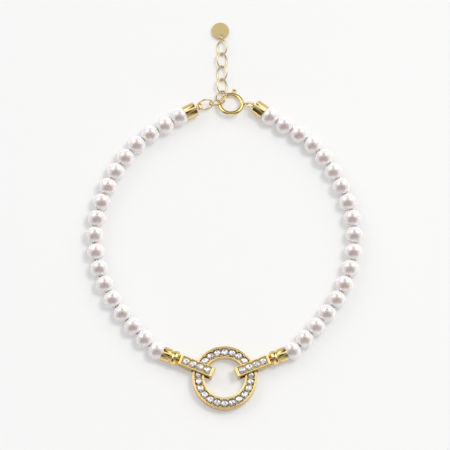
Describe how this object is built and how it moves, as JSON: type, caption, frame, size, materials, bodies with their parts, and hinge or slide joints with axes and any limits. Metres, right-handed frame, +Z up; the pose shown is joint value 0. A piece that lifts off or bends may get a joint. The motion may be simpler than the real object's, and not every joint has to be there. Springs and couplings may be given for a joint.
{
  "type": "pearl bracelet",
  "caption": "Bracelet of round white pearls with a stone-set gold ring held by two bars, a spring-ring clasp and an extender chain with a disc tag.",
  "frame": {"origin": "middle of the footprint, on the surface the bracelet lies on", "axes": "+Z up from the surface, +Y from the front ring towards the clasp and the disc tag, +X to the wearer's right as the picture shows it"},
  "size_m": [0.0622, 0.0902, 0.0038],
  "materials": {
    "pearl": "glossy white nacre with a faint pink overtone",
    "thread": "white beading thread",
    "polished_gold": "mirror-polished yellow gold",
    "set_gold": "polished yellow gold set with small clear stones",
    "satin_gold": "satin pale gold",
    "stone": "small round brilliant-cut clear stones, bright and colourless"
  },
  "bodies": {
    "bracelet": {"pearl_left_01": "pearl", "pearl_left_02": "pearl", "pearl_left_03": "pearl", "pearl_left_04": "pearl", "pearl_left_05": "pearl", "pearl_left_06": "pearl", "pearl_left_07": "pearl", "pearl_left_08": "pearl", "pearl_left_09": "pearl", "pearl_left_10": "pearl", "pearl_left_11": "pearl", "pearl_left_12": "pearl", "pearl_left_13": "pearl", "pearl_left_14": "pearl", "pearl_left_15": "pearl", "pearl_left_16": "pearl", "pearl_left_17": "pearl", "pearl_left_18": "pearl", "pearl_right_01": "pearl", "pearl_right_02": "pearl", "pearl_right_03": "pearl", "pearl_right_04": "pearl", "pearl_right_05": "pearl", "pearl_right_06": "pearl", "pearl_right_07": "pearl", "pearl_right_08": "pearl", "pearl_right_09": "pearl", "pearl_right_10": "pearl", "pearl_right_11": "pearl", "pearl_right_12": "pearl", "pearl_right_13": "pearl", "pearl_right_14": "pearl", "pearl_right_15": "pearl", "pearl_right_16": "pearl", "pearl_right_17": "pearl", "pearl_right_18": "pearl", "thread_left": "thread", "thread_right": "thread", "bar_left": "polished_gold", "bar_right": "polished_gold", "upper_cap_left": "polished_gold", "upper_cap_right": "polished_gold", "clasp_body": "polished_gold", "clasp_link": "polished_gold", "chain_link_1": "polished_gold", "chain_link_2": "polished_gold", "chain_link_3": "polished_gold", "chain_link_4": "polished_gold", "chain_link_5": "polished_gold", "chain_link_6": "polished_gold", "chain_link_7": "polished_gold", "tag_ring": "polished_gold", "disc_tag": "satin_gold"},
    "front_ring": {"pave_ring": "set_gold"},
    "trigger": {"clasp_trigger": "polished_gold"}
  },
  "joints": [
    {"name": "ring_turn", "type": "hinge", "parent": "bracelet", "child": "front_ring", "pos_m": [0, -0.03787, 0.00155], "axis": [0, 0, 1], "continuous": true},
    {"name": "trigger_slide", "type": "hinge", "parent": "bracelet", "child": "trigger", "pos_m": [0.0014, 0.02582, 0.00127], "axis": [0, -0.309, -0.9511], "range_deg": [0, 35], "stiffness_Nm_per_rad": 0.003, "springref_deg": -14.32}
  ]
}
